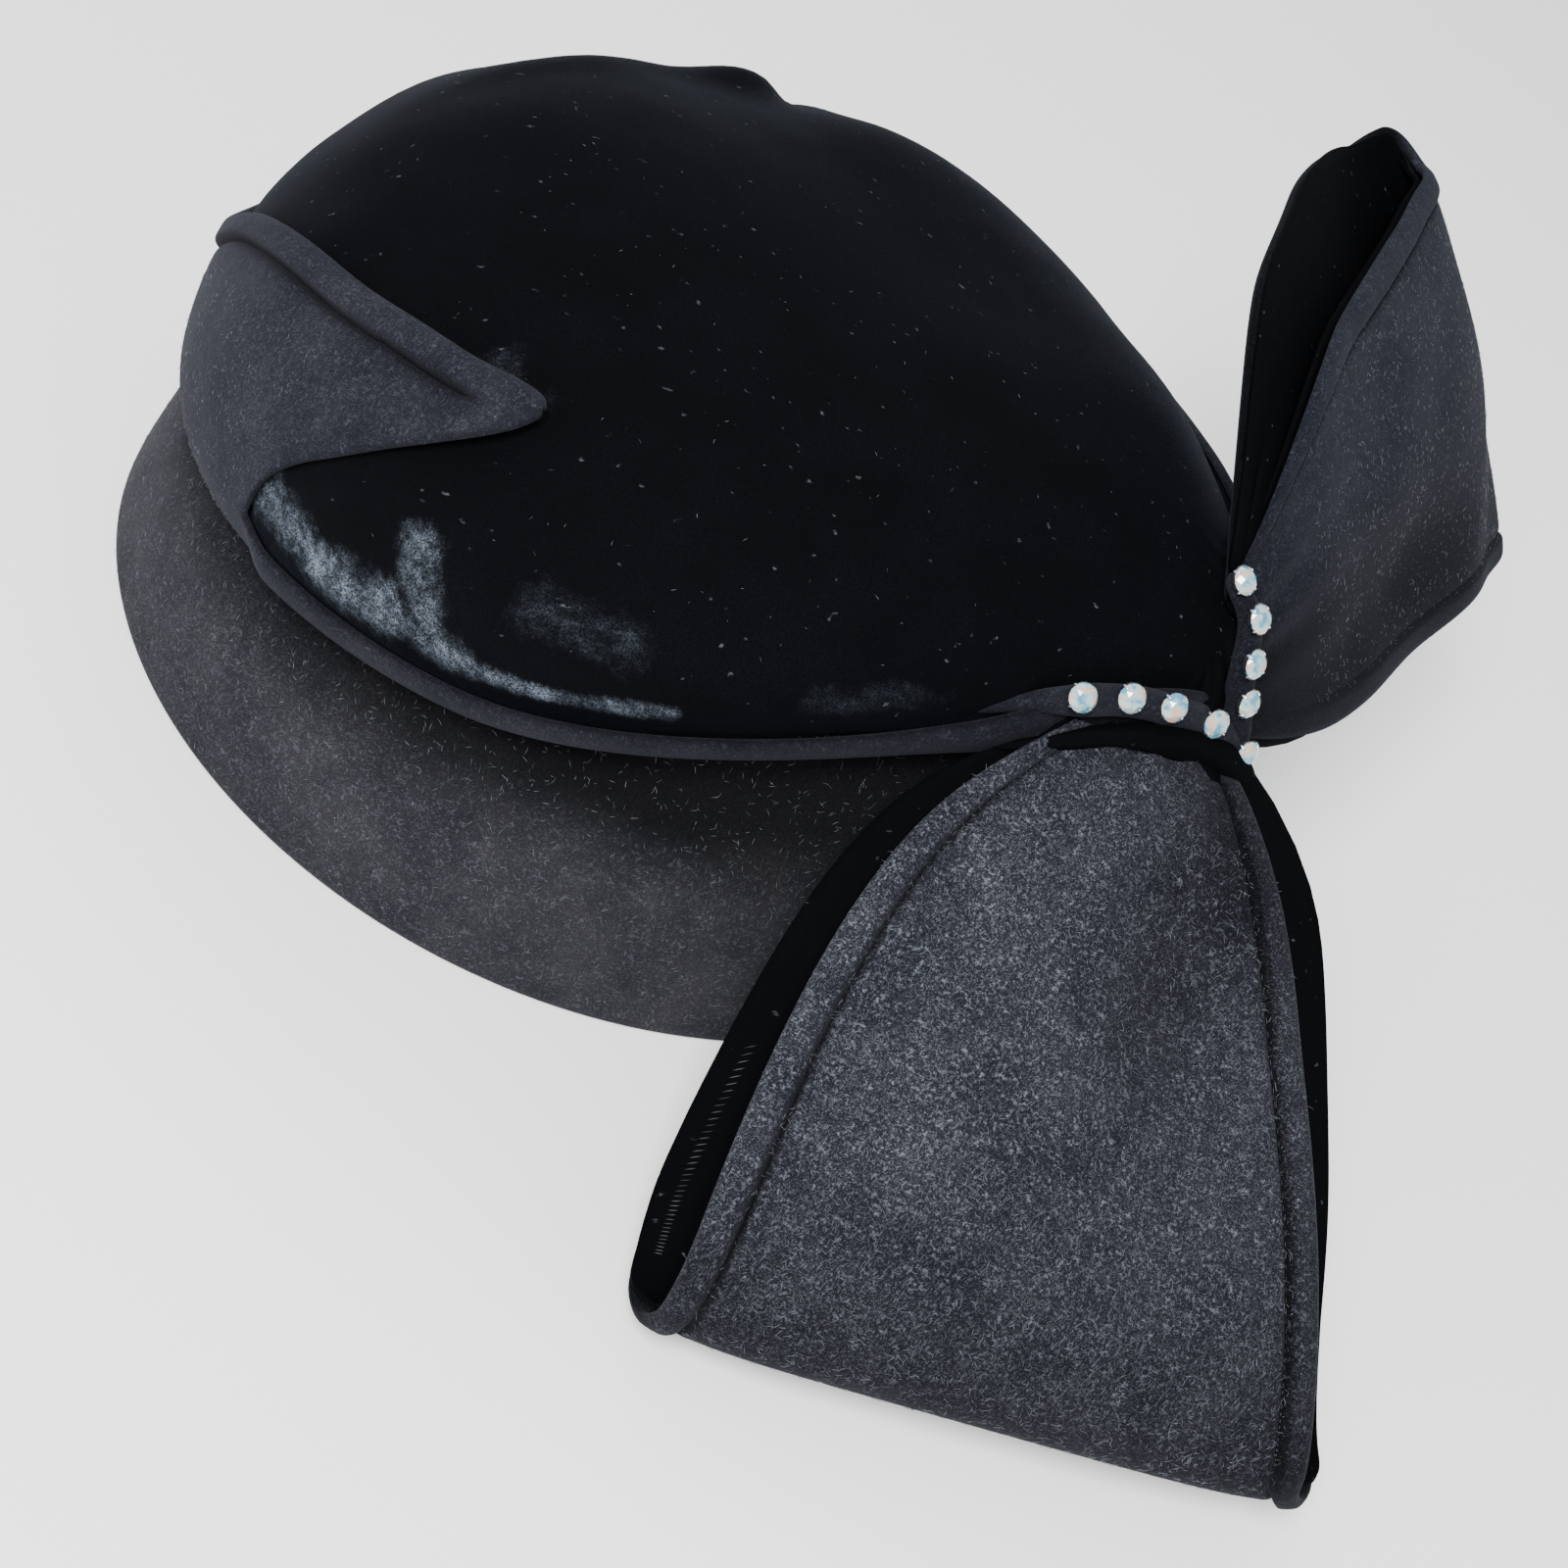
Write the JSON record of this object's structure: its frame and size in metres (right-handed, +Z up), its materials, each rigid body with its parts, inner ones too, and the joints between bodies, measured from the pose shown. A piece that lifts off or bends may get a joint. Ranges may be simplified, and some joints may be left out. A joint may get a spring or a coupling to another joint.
{
  "type": "velvet hat",
  "caption": "Domed velvet hat with a turned-down felt brim, a pointed felt band and a large velvet-lined felt bow at the back edged with rhinestones.",
  "frame": {"origin": "middle of the hat's bounding box, bow included, on the surface that the brim's lower edge stands on", "axes": "+Z up, +X towards the back of the hat, where the knot of the bow is, +Y towards the wearer's right"},
  "size_m": [0.3166, 0.2756, 0.1552],
  "materials": {
    "felt": "matt charcoal navy wool felt with fine light fibres",
    "velvet": "black pile velvet with a bluish sheen where it is brushed",
    "crystal": "clear cut crystal with a foiled back in a small silver cup"
  },
  "bodies": {
    "root": {"brim": "felt", "crown": "velvet", "band": "felt", "bow_loop_near": "felt", "bow_lining_near": "velvet", "bow_loop_far": "felt", "bow_lining_far": "velvet", "bow_knot": "velvet", "rhinestone_1": "crystal", "rhinestone_2": "crystal", "rhinestone_3": "crystal", "rhinestone_4": "crystal", "rhinestone_5": "crystal", "rhinestone_6": "crystal", "rhinestone_7": "crystal", "rhinestone_8": "crystal", "rhinestone_9": "crystal"}
  },
  "joints": []
}
